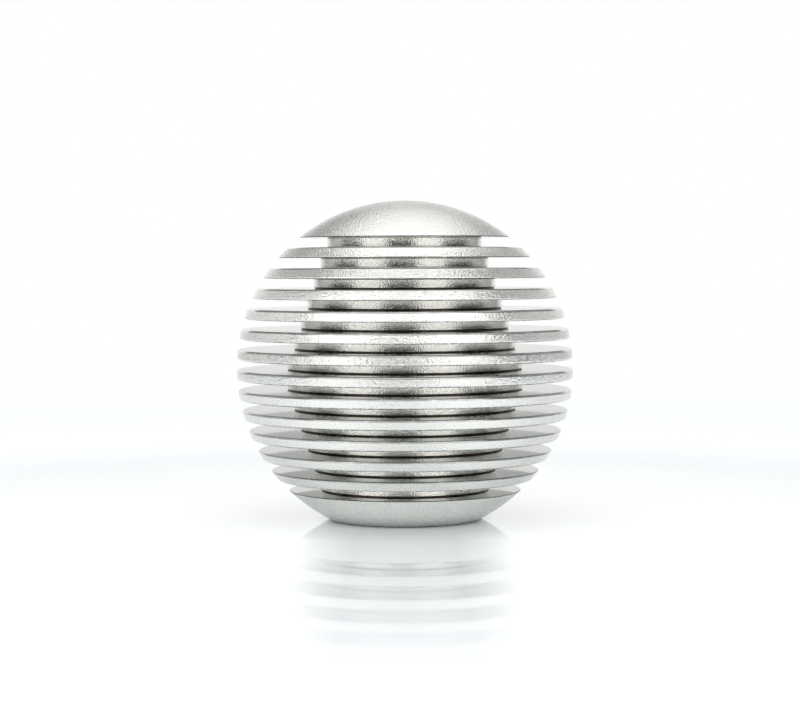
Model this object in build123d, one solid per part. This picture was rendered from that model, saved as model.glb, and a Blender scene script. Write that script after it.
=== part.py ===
"""Round finned gear shift knob: a ball turned from aluminium bar, with a screwed-in lever thread adapter.

Millimetres, +Z up. The origin is the middle of the flat foot that the knob stands on, and +Z is the
turning axis, which is also the axis of the lever.
"""

import os
from math import hypot, radians, sqrt, tan

from build123d import *

# Ball
ball_diameter = 50.0
dome_height = 5.5  # solid cap above the highest groove
foot_height = 4.45  # solid foot below the lowest groove
foot_land = 1.55  # flat ring that the knob stands on, round the adapter's counterbore
edge_break = 0.2  # chamfer on every rim edge and round the foot

# Fins
groove_count = 13
fin_thickness = 1.5
core_diameter = 35.0  # groove floor above and below the widest fin
core_step = 1.0  # radius that the floor loses from each groove to the next, away from the widest fin

# Lever thread, M12 x 1.25
lever_thread_diameter = 12.0
lever_thread_pitch = 1.25

# Adapter, a flanged bush screwed into the ball
adapter_wall = 2.0  # from the lever thread out to the M16 thread
adapter_length = 22.0  # flange face to inner end
adapter_lead_in = 0.8  # chamfer at the inner end of the outside thread
flange_width = 1.3  # radial, outside the M16 thread
flange_thickness = 2.0
flange_recess = 0.4  # flange face above the foot, so that the knob stands on its own foot
driver_slot_width = 2.4
driver_slot_depth = 1.1

# Socket in the ball
thread_clearance = 0.05  # radial, round the adapter's thread
flange_clearance = 0.15  # radial, round the adapter's flange
socket_run_out = 3.6  # full diameter beyond the adapter's inner end
drill_point_angle = 118.0

# Adapter and socket sizes that follow. An ISO inside thread is bored to five eighths of its sharp height.
lever_thread_radius = lever_thread_diameter / 2
lever_bore_radius = lever_thread_radius - lever_thread_pitch * sqrt(3) / 2 * 5 / 8
adapter_radius = lever_thread_radius + adapter_wall
adapter_top = flange_recess + adapter_length
flange_radius = adapter_radius + flange_width
flange_seat = flange_recess + flange_thickness
socket_radius = adapter_radius + thread_clearance
socket_depth = adapter_top + socket_run_out
counterbore_radius = flange_radius + flange_clearance

# Ball sizes that follow. The foot is faced off where the ball is wide enough for the land.
ball_radius = ball_diameter / 2
foot_radius = counterbore_radius + foot_land
ball_centre = sqrt(ball_radius**2 - foot_radius**2)
knob_height = ball_centre + ball_radius

# Fins and grooves fill the height between the dome and the foot
fin_count = groove_count - 1
highest_groove_top = knob_height - dome_height
groove_width = (highest_groove_top - foot_height - fin_count * fin_thickness) / groove_count
groove_pitch = groove_width + fin_thickness

SAME_PLACE = 0.001  # points nearer than this coincide


def groove_bottom(groove):
    """Height of the lower face of a groove, counted down from the dome."""
    return highest_groove_top - groove_width - groove * groove_pitch


def fin_middle(fin):
    """Height of the middle of a fin, which lies under the groove of the same number."""
    return groove_bottom(fin) - fin_thickness / 2


def core_radius(groove):
    """Radius of a groove's floor: largest beside the fin at the ball's equator, then stepping in."""
    widest_fin = min(range(fin_count), key=lambda fin: abs(fin_middle(fin) - ball_centre))
    if groove <= widest_fin:
        steps = widest_fin - groove
    else:
        steps = groove - widest_fin - 1
    return core_diameter / 2 - steps * core_step


def is_rim_corner(corner):
    """True where the ball's outline is cut off by a groove or the foot."""
    off_surface = hypot(corner.X, corner.Y - ball_centre) - ball_radius
    return corner.X > SAME_PLACE and abs(off_surface) < SAME_PLACE


def make_socket_section():
    """Half section of the blind hole in the foot: flange counterbore, thread bore and drill point."""
    drill_point_height = socket_radius / tan(radians(drill_point_angle / 2))
    outline = Polyline(
        (0, 0),
        (counterbore_radius, 0),
        (counterbore_radius, flange_seat),
        (socket_radius, flange_seat),
        (socket_radius, socket_depth),
        (0, socket_depth + drill_point_height),
        close=True,
    )
    return make_face(outline)


def make_knob_body():
    """The ball in one piece: its half section, grooved, edge-broken and drilled, turned about +Z."""
    ball = Pos(0, ball_centre) * Circle(ball_radius)
    above_foot = Rectangle(ball_radius, knob_height, align=(Align.MIN, Align.MIN))
    section = ball & above_foot
    groove = Rectangle(ball_radius, groove_width, align=(Align.MIN, Align.MIN))
    for number in range(groove_count):
        section -= Pos(core_radius(number), groove_bottom(number)) * groove
    section = chamfer(section.vertices().filter_by(is_rim_corner), edge_break)
    section -= make_socket_section()
    return revolve(Plane.XZ * section, Axis.Z)


def make_thread_adapter():
    """Flanged threaded bush with a driver slot across its face. Its bore takes the lever."""
    lever_lead_in = lever_thread_radius - lever_bore_radius
    outline = Polyline(
        (lever_thread_radius, flange_recess),
        (flange_radius, flange_recess),
        (flange_radius, flange_seat),
        (adapter_radius, flange_seat),
        (adapter_radius, adapter_top - adapter_lead_in),
        (adapter_radius - adapter_lead_in, adapter_top),
        (lever_bore_radius, adapter_top),
        (lever_bore_radius, flange_recess + lever_lead_in),
        close=True,
    )
    bush = revolve(Plane.XZ * make_face(outline), Axis.Z)
    slot = Box(2 * flange_radius, driver_slot_width, 2 * driver_slot_depth)
    return bush - Pos(0, 0, flange_recess) * slot


parts = {
    "knob_body": make_knob_body(),
    "thread_adapter": make_thread_adapter(),
}
os.makedirs("parts", exist_ok=True)
for name, part in parts.items():
    export_step(part, f"parts/{name}.step")
    print(f"{name}: {part.volume / 1000:.2f} cm3, {len(part.faces())} faces")
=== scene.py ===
from math import asin, atan2, cos, pi, radians, sin, sqrt, tan

import bpy
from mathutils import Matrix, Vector


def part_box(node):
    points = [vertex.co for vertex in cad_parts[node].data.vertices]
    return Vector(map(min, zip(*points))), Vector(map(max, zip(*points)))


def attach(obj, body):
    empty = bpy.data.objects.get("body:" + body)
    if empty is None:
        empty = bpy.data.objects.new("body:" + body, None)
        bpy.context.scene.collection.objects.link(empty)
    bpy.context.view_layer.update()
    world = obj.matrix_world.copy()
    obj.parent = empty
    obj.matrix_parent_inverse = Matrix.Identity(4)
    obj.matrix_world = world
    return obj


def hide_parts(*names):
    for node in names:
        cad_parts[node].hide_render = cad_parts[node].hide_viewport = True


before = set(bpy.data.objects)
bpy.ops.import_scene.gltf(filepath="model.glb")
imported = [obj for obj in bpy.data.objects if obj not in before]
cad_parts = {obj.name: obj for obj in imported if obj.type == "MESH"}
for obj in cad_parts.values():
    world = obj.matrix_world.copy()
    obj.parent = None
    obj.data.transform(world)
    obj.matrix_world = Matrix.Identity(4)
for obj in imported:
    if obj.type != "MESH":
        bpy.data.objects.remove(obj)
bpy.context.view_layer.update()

# The ball of the knob, with its dome, fins, stepped core and foot: one piece turned from aluminium bar.
# Square grooves part the fins, every rim edge is broken, and the foot is bored out from below. The ball
# is then blasted with fine glass beads and anodised clear, which leaves a grey satin with a fine sparkle.
MM = 0.001
ball_radius = 25.0 * MM
dome_height = 5.5 * MM
foot_height = 4.45 * MM
fin_thickness = 1.5 * MM
groove_count = 13
core_radius = 17.5 * MM
core_step = 1.0 * MM
edge_break = 0.2 * MM
relief_height = 0.17 * MM  # narrow undercut in the lower corner of a groove
relief_depth = 0.16 * MM
upper_relief = 0.15 * MM  # slanting undercut in the upper corner, as high as it is deep
edge_round = 0.11 * MM  # where the rounds at both sides of an edge break start
soft_corner = 0.04 * MM  # where the round of an inner corner starts
adapter_radius = 8.0 * MM
flange_thickness = 2.0 * MM
socket_clearance = 0.05 * MM
counterbore_clearance = 0.15 * MM
socket_run_out = 3.6 * MM
drill_point_angle = radians(118)
corner_steps = 2
dome_steps = 24
fin_steps = 4
foot_steps = 8
turning_steps = 216

knob_low, knob_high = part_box("knob_body")
adapter_low, adapter_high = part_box("thread_adapter")
ball_centre = knob_high.z - ball_radius
groove_ceiling = knob_high.z - dome_height
all_grooves = groove_ceiling - foot_height - (groove_count - 1) * fin_thickness
groove_width = all_grooves / groove_count
groove_pitch = groove_width + fin_thickness
flange_radius = adapter_high.x
flange_seat = adapter_low.z + flange_thickness


def on_ball(height):
    """Radius of the ball at a height."""
    return sqrt(ball_radius**2 - (height - ball_centre) ** 2)


def rim(top, bottom, steps):
    """Points on the ball between two heights, without its ends, evenly spaced along the surface."""
    start, end = (asin((height - ball_centre) / ball_radius) for height in (top, bottom))
    tilts = [start + (end - start) * step / steps for step in range(1, steps)]
    return [(ball_radius * cos(tilt), ball_centre + ball_radius * sin(tilt), 0.0) for tilt in tilts]


def broken_edge(face_height, inward):
    """The two corners of the edge break where a flat face cuts the ball, the one on the face first."""
    radius = on_ball(face_height)
    along = edge_break * inward
    slope = (face_height - ball_centre) / radius
    step = along / sqrt(1 + slope**2)
    on_face = (radius - edge_break, face_height, edge_round)
    on_rim = (radius - step * slope, face_height + step, edge_round)
    return on_face, on_rim


def floor_radius(groove):
    """Radius of a groove's floor, largest in the two grooves beside the middle fin."""
    middle = groove_count // 2
    steps = middle - groove if groove <= middle else groove - middle - 1
    return core_radius - steps * core_step


def rounded(stations):
    """Outline points (radius, height, normal out, normal up) from stations (radius, height, rounding).

    A rounding is how far from its corner the round starts. A station with none lies on the ball, or is
    the end of the outline on the axis.
    """
    outline = []
    for number, (radius, height, rounding) in enumerate(stations):
        if not rounding:
            if radius:
                out, up = radius / ball_radius, (height - ball_centre) / ball_radius
            else:
                out, up = 0.0, 1.0 if number == 0 else -1.0
            outline.append((radius, height, out, up))
            continue
        before, after = stations[number - 1], stations[number + 1]
        incoming = atan2(height - before[1], radius - before[0])
        outgoing = atan2(after[1] - height, after[0] - radius)
        turn = (outgoing - incoming + pi) % (2 * pi) - pi
        arc_radius = -rounding / tan(turn / 2)
        centre_radius = radius - rounding * cos(incoming) + arc_radius * sin(incoming)
        centre_height = height - rounding * sin(incoming) - arc_radius * cos(incoming)
        for step in range(corner_steps + 1):
            heading = incoming + turn * step / corner_steps
            out, up = -sin(heading), cos(heading)
            outline.append((centre_radius + arc_radius * out, centre_height + arc_radius * up, out, up))
    return outline


def piece_from(name, vertices, faces):
    """A piece from its vertices and faces."""
    mesh = bpy.data.meshes.new(name)
    mesh.from_pydata(vertices, [], faces)
    piece = bpy.data.objects.new(name, mesh)
    bpy.context.collection.objects.link(piece)
    return piece


def turned(name, outline):
    """A piece turned about the upright axis from outline points with their normals."""
    vertices, normals, rings = [], [], []
    for radius, height, out, up in outline:
        count = turning_steps if radius else 1
        rings.append(range(len(vertices), len(vertices) + count))
        for step in range(count):
            angle = 2 * pi * step / turning_steps
            vertices.append((radius * cos(angle), radius * sin(angle), height))
            normals.append((out * cos(angle), out * sin(angle), up))
    faces = []
    for ring, next_ring in zip(rings, rings[1:]):
        for step in range(turning_steps):
            following = (step + 1) % turning_steps
            corners = (
                ring[step % len(ring)],
                next_ring[step % len(next_ring)],
                next_ring[following % len(next_ring)],
                ring[following % len(ring)],
            )
            faces.append(tuple(dict.fromkeys(corners)))
    piece = piece_from(name, vertices, faces)
    piece.data.shade_smooth()
    piece.data.normals_split_custom_set_from_vertices(normals)
    return piece


stations = [(0.0, knob_high.z, 0.0)]
grooves = []
rim_steps = dome_steps
for groove in range(groove_count):
    ceiling = groove_ceiling - groove * groove_pitch
    bottom = ceiling - groove_width
    inner = floor_radius(groove)
    grooves.append((bottom, inner))
    on_face, on_rim = broken_edge(ceiling, 1)
    stations += rim(stations[-1][1], on_rim[1], rim_steps)
    stations += [on_rim, on_face]
    stations.append((inner - upper_relief, ceiling, soft_corner))
    stations.append((inner, ceiling - upper_relief, soft_corner))
    stations.append((inner, bottom + relief_height, soft_corner))
    stations.append((inner - relief_depth, bottom + relief_height, soft_corner))
    stations.append((inner - relief_depth, bottom, soft_corner))
    stations += broken_edge(bottom, -1)
    rim_steps = fin_steps
on_face, on_rim = broken_edge(knob_low.z, 1)
stations += rim(stations[-1][1], on_rim[1], foot_steps)
counterbore_radius = flange_radius + counterbore_clearance
socket_radius = adapter_radius + socket_clearance
socket_end = adapter_high.z + socket_run_out
stations += [
    on_rim,
    on_face,
    (counterbore_radius, knob_low.z, soft_corner),
    (counterbore_radius, flange_seat, soft_corner),
    (socket_radius, flange_seat, soft_corner),
    (socket_radius, socket_end, soft_corner),
    (0.0, socket_end + socket_radius / tan(drill_point_angle / 2), 0.0),
]
knob = turned("finned_ball", rounded(stations))


class Wire:
    """A socket of a node tree, which takes part in sums as a number does."""

    def __init__(self, tree, socket=None):
        self.tree = tree
        self.socket = socket

    def node(self, kind, settings, sockets, output=0):
        """Adds a node, makes its settings, fills or links its sockets, and gives one of its outputs."""
        added = self.tree.nodes.new(kind)
        for setting, value in settings.items():
            setattr(added, setting, value)
        for name, value in sockets.items():
            if isinstance(value, Wire):
                self.tree.links.new(value.socket, added.inputs[name])
            else:
                added.inputs[name].default_value = value
        return Wire(self.tree, added.outputs[output] if added.outputs else None)

    def math(self, operation, *values):
        return self.node("ShaderNodeMath", {"operation": operation}, dict(enumerate(values)))

    def __add__(self, other):
        return self.math("ADD", self, other)

    def __radd__(self, other):
        return self.math("ADD", other, self)

    def __sub__(self, other):
        return self.math("SUBTRACT", self, other)

    def __rsub__(self, other):
        return self.math("SUBTRACT", other, self)

    def __mul__(self, other):
        return self.math("MULTIPLY", self, other)

    def __rmul__(self, other):
        return self.math("MULTIPLY", other, self)

    def __abs__(self):
        return self.math("ABSOLUTE", self)


def new_material(name):
    """An empty material, and the wire of places on its piece, which its nodes are added from."""
    material = bpy.data.materials.new(name)
    material.use_nodes = True
    material.node_tree.nodes.clear()
    return material, Wire(material.node_tree).node("ShaderNodeTexCoord", {}, {}, "Object")


def show(place, look):
    """Ends a material in one shader with this look."""
    surface = place.node("ShaderNodeBsdfPrincipled", {}, look)
    place.node("ShaderNodeOutputMaterial", {}, {"Surface": surface})


def spots(place, size, detail):
    """Soft random spots of about that size, from 0 to 1 and mostly near a half."""
    return place.node("ShaderNodeTexNoise", {}, {"Vector": place, "Scale": 1 / size, "Detail": detail})


def bumps(height, depth):
    """The normals of a surface that rises by the depth as the height goes from 0 to 1."""
    sockets = {"Height": height, "Distance": depth, "Strength": 1.0}
    return height.node("ShaderNodeBump", {}, sockets, "Normal")


aluminium = (0.805, 0.805, 0.775, 1.0)
blasted_roughness = 0.29
bead_mark = 0.25 * MM  # across the dents that the glass beads leave
bead_depth = 0.074 * MM
dent_roughness = 0.1  # how much the roughness varies from dent to dent


def blasted_aluminium(name, colour, roughness, mark, depth):
    """Aluminium dented all over by glass beads."""
    material, place = new_material(name)
    dents = spots(place, mark, 0.0)
    look = {
        "Base Color": colour,
        "Metallic": 1.0,
        "Roughness": roughness + (dents - 0.5) * dent_roughness,
        "Normal": bumps(dents, depth),
    }
    show(place, look)
    return material


blasted = blasted_aluminium("bead_blasted_aluminium", aluminium, blasted_roughness, bead_mark, bead_depth)

# The beads reach the floors of the grooves less well, so those stay a little smoother and yellower.
floor_colour = (0.81, 0.80, 0.75, 1.0)
floor_roughness = 0.19
floor_mark = 0.22 * MM
floor_depth = 0.032 * MM
groove_floor = blasted_aluminium(
    "lightly_blasted_aluminium", floor_colour, floor_roughness, floor_mark, floor_depth
)

# The flat faces of the fins are turned with a sharp tool and stay as bright as mirrors, in very fine rings.
turned_roughness = 0.05
ring_roughness = 0.02
edge_on_tint = (0.64, 0.64, 0.63, 1.0)  # keeps faces that are seen edge on from turning white
turning_mark = 0.12 * MM  # from one ring to the next
ring_wobble = 1.5
ring_detail = 2.0
wave_length = pi / 10  # of the wave texture at a scale of 1


def turning_rings(place):
    """The fine rings that the tool leaves round the axis."""
    settings = {"wave_type": "RINGS", "rings_direction": "Z"}
    sockets = {
        "Vector": place,
        "Scale": wave_length / turning_mark,
        "Distortion": ring_wobble,
        "Detail": ring_detail,
    }
    return place.node("ShaderNodeTexWave", settings, sockets)


turned_face, place = new_material("turned_aluminium")
look = {
    "Base Color": aluminium,
    "Metallic": 1.0,
    "Roughness": turned_roughness + turning_rings(place) * ring_roughness,
    "Specular Tint": edge_on_tint,
}
show(place, look)

# The upper edges of the fins are stoned smooth after the blasting; their grey colour is painted shade,
# uneven in patches.
edge_shade_dark = (0.42, 0.42, 0.41, 1.0)
edge_shade_light = (0.60, 0.60, 0.58, 1.0)
edge_roughness = 0.12
edge_patch_roughness = 0.08
shade_patch = 1.6 * MM
patch_detail = 2.0
lighter_start = 0.5  # where the painted shade starts to lighten, in the range of the spots
lighter_end = 0.75


def ramp(value, start, end):
    """0 as far as the start, 1 from the end on, and rising evenly in between."""
    return value.node("ShaderNodeMapRange", {}, {"Value": value, "From Min": start, "From Max": end})


def mixed(share, first, second):
    """The first colour, which turns into the second as the share goes from 0 to 1."""
    return share.node("ShaderNodeMix", {"data_type": "RGBA"}, {0: share, 6: first, 7: second}, 2)


edge_painted_shade, place = new_material("edge_painted_shade")
patches = spots(place, shade_patch, patch_detail)
look = {
    "Base Color": mixed(ramp(patches, lighter_start, lighter_end), edge_shade_dark, edge_shade_light),
    "Metallic": 1.0,
    "Roughness": edge_roughness + patches * edge_patch_roughness,
}
show(place, look)

# The narrow undercuts carry painted shade: a dark metal colour, black and in places brown, that still
# mirrors the lamps faintly.
corner_shade_black = (0.060, 0.057, 0.053, 1.0)
corner_shade_brown = (0.150, 0.115, 0.090, 1.0)
corner_shade_roughness = 0.25
shade_spot_roughness = 0.2
brown_start = 0.45  # where the painted shade starts to turn brown, in the range of the spots
brown_end = 0.7
groove_corner_shade, place = new_material("groove_corner_painted_shade")
shade_spots = spots(place, shade_patch, patch_detail)
look = {
    "Base Color": mixed(ramp(shade_spots, brown_start, brown_end), corner_shade_black, corner_shade_brown),
    "Metallic": 1.0,
    "Roughness": corner_shade_roughness + shade_spots * shade_spot_roughness,
}
show(place, look)

unshaded_grooves = 2  # the upper ones, which get no painted shade
level = 0.98  # upright part of a flat face's normal, at least
hair = soft_corner / 4
corner_shade_top = groove_ceiling - unshaded_grooves * groove_pitch
finishes = (blasted, turned_face, edge_painted_shade, groove_corner_shade, groove_floor)
for finish in finishes:
    knob.data.materials.append(finish)
for face in knob.data.polygons:
    finish = blasted
    height = face.center.z
    out = face.center.xy.length
    below_ball = ball_radius - (face.center - Vector((0.0, 0.0, ball_centre))).length
    if abs(face.normal.z) > level and below_ball > soft_corner:
        finish = turned_face
    elif hair < below_ball < edge_break and height > foot_height + edge_break:
        # Upward-facing edge breaks take the painted edge shade.
        if face.normal.z > (height - ball_centre) / ball_radius:
            finish = edge_painted_shade
    for bottom, inner in grooves:
        # Below the upper grooves, the lower undercuts take the painted corner shade.
        if bottom - soft_corner < height < min(bottom + relief_height + hair, corner_shade_top):
            if inner - relief_depth - soft_corner < out < inner - soft_corner:
                finish = groove_corner_shade
        if bottom < height < bottom + groove_width and abs(out - inner) < 2 * hair:
            finish = groove_floor
    face.material_index = finishes.index(finish)
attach(knob, "root")
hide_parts("knob_body")

# The thread adapter: a flanged bush turned from steel, tapped M12 x 1.25 for the lever and plated with zinc.
# It is screwed up into the foot until its flange seats, with a driver in the slot across the flange.
lever_radius = 6.0 * MM
thread_pitch = 1.25 * MM
bore_radius = lever_radius - thread_pitch * sqrt(3) / 2 * 5 / 8
adapter_lead_in = 0.8 * MM
flange_break = 0.15 * MM
slot_width = 2.4 * MM
slot_depth = 1.1 * MM
sharp_angle = radians(30)  # edges that fold by more than this stay sharp
tap_steps = 96
tap_overrun = 2 * thread_pitch


def tap():
    """A tap as long as the adapter and a little over: right-hand ISO thread between two closed ends."""
    # One turn of the thread: radius, and height as a share of the pitch.
    profile = [(bore_radius, 0), (bore_radius, 1 / 4), (lever_radius, 9 / 16), (lever_radius, 11 / 16)]
    start = adapter_low.z - tap_overrun
    turns = round((adapter_high.z - adapter_low.z + 2 * tap_overrun) / thread_pitch)
    corners = len(profile)
    last = turns * tap_steps
    vertices = []
    for step in range(last + 1):
        angle = 2 * pi * step / tap_steps
        for radius, offset in profile:
            height = start + thread_pitch * (step / tap_steps + offset)
            vertices.append((radius * cos(angle), radius * sin(angle), height))
    faces = []
    for step in range(last):
        here, there = step * corners, (step + 1) * corners
        for corner in range(corners - 1):
            faces.append((here + corner, there + corner, there + corner + 1, here + corner + 1))
        if step + tap_steps < last:
            turn_up = tap_steps * corners
            faces.append((here + corners - 1, there + corners - 1, there + turn_up, here + turn_up))
    lower_loop = [step * corners for step in range(tap_steps + 1)] + list(range(corners - 1, 0, -1))
    upper_loop = [step * corners + corners - 1 for step in range(last - tap_steps, last + 1)]
    upper_loop += [last * corners + corner for corner in range(corners - 2, -1, -1)]
    lower_tip = len(vertices)
    vertices += [(0.0, 0.0, start - thread_pitch), (0.0, 0.0, start + (turns + 2) * thread_pitch)]
    for first, second in zip(lower_loop, lower_loop[1:] + lower_loop[:1]):
        faces.append((lower_tip, second, first))
    for first, second in zip(upper_loop, upper_loop[1:] + upper_loop[:1]):
        faces.append((lower_tip + 1, first, second))
    return piece_from("tap", vertices, faces)


def cut_away(piece, cutter):
    """Cuts a cutter's shape out of a piece and puts the cutter away."""
    cut = piece.modifiers.new("cut", "BOOLEAN")
    cut.operation = "DIFFERENCE"
    cut.solver = "EXACT"
    cut.object = cutter
    with bpy.context.temp_override(object=piece):
        bpy.ops.object.modifier_apply(modifier=cut.name)
    bpy.data.objects.remove(cutter)


adapter_stations = [
    (0.0, adapter_high.z, 0.0),
    (adapter_radius - adapter_lead_in, adapter_high.z, soft_corner),
    (adapter_radius, adapter_high.z - adapter_lead_in, soft_corner),
    (adapter_radius, flange_seat, soft_corner),
    (flange_radius - flange_break, flange_seat, soft_corner),
    (flange_radius, flange_seat - flange_break, soft_corner),
    (flange_radius, adapter_low.z + flange_break, soft_corner),
    (flange_radius - flange_break, adapter_low.z, soft_corner),
    (0.0, adapter_low.z, 0.0),
]
adapter = turned("lever_thread_adapter", rounded(adapter_stations))
cut_away(adapter, tap())
countersink_top = adapter_low.z + lever_radius
countersink_outline = [
    (0.0, countersink_top, 0.0, 1.0),
    (2 * lever_radius, countersink_top - 2 * lever_radius, 0.0, 1.0),
    (0.0, countersink_top - 2 * lever_radius, 0.0, -1.0),
]
cut_away(adapter, turned("countersink", countersink_outline))
bpy.ops.mesh.primitive_cube_add(size=1.0, location=(0.0, 0.0, adapter_low.z))
slot_cutter = bpy.context.object
slot_cutter.scale = (3 * flange_radius, slot_width, 2 * slot_depth)
bpy.context.view_layer.update()
cut_away(adapter, slot_cutter)
adapter.data.normals_split_custom_set_from_vertices([(0.0, 0.0, 0.0)] * len(adapter.data.vertices))
adapter.data.set_sharp_from_angle(angle=sharp_angle)

zinc = (0.62, 0.64, 0.66, 1.0)
zinc_roughness = 0.24
zinc_ring_roughness = 0.12
zinc_ring_depth = 0.004 * MM
plated, place = new_material("zinc_on_turned_steel")
rings = turning_rings(place)
look = {
    "Base Color": zinc,
    "Metallic": 1.0,
    "Roughness": zinc_roughness + rings * zinc_ring_roughness,
    "Normal": bumps(rings, zinc_ring_depth),
}
show(place, look)
adapter.data.materials.append(plated)
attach(adapter, "root")
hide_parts("thread_adapter")

# The table: a sheet of white acrylic that the knob stands on. It is polished round the knob, which it
# mirrors faintly, and matt further out. It glows with painted light: none beneath the foot, strongest just
# past it, a little weaker further out, stronger beside and in front of the knob and far out. It isn't part
# of the knob.
table_width = 1.8
table_front = -0.50
table_back = 0.26
acrylic_white = (0.84, 0.877, 0.89, 1.0)
acrylic_ior = 1.49
polish_roughness = 0.03
mirror_edge = 0.045  # from the knob's axis, where the polish starts to fade
mirror_end = 0.130
painted_glow_strength = 0.6  # of the painted glow
glow_start = 0.0110  # the painted glow starts where the knob's foot ends
glow_full = 0.0135
painted_glow = 0.24
settle_edge = 0.013  # the painted glow is a little weaker further out
settle_end = 0.019
settle_loss = 0.09
side_edge = 0.007  # stronger in front of the knob on both sides, where the polish is weaker
side_end = 0.014
front_edge = -0.008
front_end = -0.025
beside_glow = 0.32
beside_matt = 0.6
far_edge = 0.100  # and a little stronger far out
far_end = 0.140
far_glow = 0.18

table_corners = [
    (-table_width / 2, table_front, 0.0),
    (table_width / 2, table_front, 0.0),
    (table_width / 2, table_back, 0.0),
    (-table_width / 2, table_back, 0.0),
]
table = piece_from("table", table_corners, [(0, 1, 2, 3)])
acrylic, place = new_material("white_acrylic")
from_axis = place.node("ShaderNodeVectorMath", {"operation": "LENGTH"}, {0: place}, "Value")
polish = place.node(
    "ShaderNodeMapRange",
    {"interpolation_type": "SMOOTHSTEP"},
    {"Value": from_axis, "From Min": mirror_edge, "From Max": mirror_end, "To Min": 1.0, "To Max": 0.0},
)
across = place.node("ShaderNodeSeparateXYZ", {}, {"Vector": place}, "X")
along = place.node("ShaderNodeSeparateXYZ", {}, {"Vector": place}, "Y")
past_foot = ramp(from_axis, glow_start, glow_full)
settle = ramp(from_axis, settle_edge, settle_end)
beside = ramp(abs(across), side_edge, side_end) * ramp(along, front_edge, front_end)
far = ramp(from_axis, far_edge, far_end)
look = {
    "Base Color": acrylic_white,
    "Roughness": 1.0,
    "Specular IOR Level": 0.0,
    "Coat Weight": polish * (1.0 - beside * beside_matt),
    "Coat Roughness": polish_roughness,
    "Coat IOR": acrylic_ior,
    "Emission Color": past_foot * painted_glow - settle * settle_loss + beside * beside_glow + far * far_glow,
    "Emission Strength": painted_glow_strength,
}
show(place, look)
table.data.materials.append(acrylic)

# Studio light: a softbox in two parts on either side of the camera, a fill above the camera, a wide softbox
# overhead, weaker fills at both sides and behind, and a lit white sweep in three parts round the back. The
# room is dim, and dark at the height of the table.
lamp_distance = 0.7
room_brightness = 0.33
room_dark = sin(radians(2))
room_bright = sin(radians(13))


def softbox(name, azimuth, elevation, width, height, brightness):
    """A soft area light seen from the ball in that direction, counted in degrees from the camera's side."""
    turn, lift = radians(azimuth), radians(elevation)
    toward = Vector((cos(lift) * sin(turn), -cos(lift) * cos(turn), sin(lift)))
    lamp = bpy.data.lights.new(name, "AREA")
    lamp.shape = "RECTANGLE"
    lamp.size = width
    lamp.size_y = height
    lamp.energy = brightness * pi * width * height
    box = bpy.data.objects.new(name, lamp)
    box.location = Vector((0.0, 0.0, ball_centre)) + lamp_distance * toward
    box.rotation_euler = toward.to_track_quat("Z", "Y").to_euler()
    box.visible_camera = False
    bpy.context.collection.objects.link(box)


softbox("left_key", -46, 8, 0.52, 0.27, 1.05)
softbox("left_key_top", -50, 32, 0.51, 0.32, 1.9)
softbox("right_key", 36, 8, 0.52, 0.27, 1.1)
softbox("right_key_top", 42, 32, 0.48, 0.32, 2.0)
softbox("front_fill", -3, 38.5, 0.60, 0.42, 1.05)
softbox("overhead", 180, 84, 0.78, 0.80, 1.05)
softbox("back_fill", 175, 42, 0.34, 0.28, 0.55)
softbox("back_right", 132, 35, 0.30, 0.28, 0.3)
softbox("back_left", -124, 34, 0.36, 0.28, 0.22)
softbox("sweep_middle", 180, 6, 1.05, 0.34, 1.0)
softbox("sweep_left", -122, 6, 0.42, 0.38, 0.52)
softbox("sweep_right", 122, 6, 0.42, 0.38, 0.44)
softbox("left_side", -95, 19, 0.37, 0.26, 0.7)
softbox("right_side", 98, 21, 0.37, 0.22, 0.35)

room = bpy.data.worlds.new("studio")
room.use_nodes = True
room.node_tree.nodes.clear()
direction = Wire(room.node_tree).node("ShaderNodeTexCoord", {}, {}, "Generated")
height = direction.node("ShaderNodeSeparateXYZ", {}, {"Vector": direction}, "Z")
above_table = ramp(height, room_dark, room_bright)
paper_white = (1.0, 1.0, 1.0, 1.0)
dark = direction.node("ShaderNodeBackground", {}, {"Strength": 0.0})
dim = direction.node("ShaderNodeBackground", {}, {"Color": paper_white, "Strength": room_brightness})
white = direction.node("ShaderNodeBackground", {}, {"Color": paper_white, "Strength": 1.0})
walls = direction.node("ShaderNodeMixShader", {}, {0: above_table, 1: dark, 2: dim})
seen = direction.node("ShaderNodeLightPath", {}, {}, "Is Camera Ray")
shade = direction.node("ShaderNodeMixShader", {}, {0: seen, 1: walls, 2: white})
direction.node("ShaderNodeOutputWorld", {}, {"Surface": shade})
bpy.context.scene.world = room
bpy.context.scene.view_settings.view_transform = "Standard"

# Camera: level with the upper fins and close in, as the knob was photographed. Its place and tilts are
# fitted to the rows of fins in the photo.
photo_width = 800
focal_length = 2100  # in pixels of the photo
sensor_width = 36.0  # in millimetres, as Blender counts it
nearest_seen = 0.01
camera_distance = 0.313
camera_above_ball = 0.0155
camera_dip = 2.59  # degrees
camera_roll = 0.2
camera_pan = 0.123

camera_data = bpy.data.cameras.new("camera")
camera_data.sensor_width = sensor_width
camera_data.lens = focal_length / photo_width * sensor_width
camera_data.clip_start = nearest_seen
camera = bpy.data.objects.new("camera", camera_data)
camera.location = (0.0, -camera_distance, ball_centre + camera_above_ball)
camera.rotation_euler = (radians(90 - camera_dip), radians(camera_roll), radians(camera_pan))
bpy.context.collection.objects.link(camera)
bpy.context.scene.camera = camera
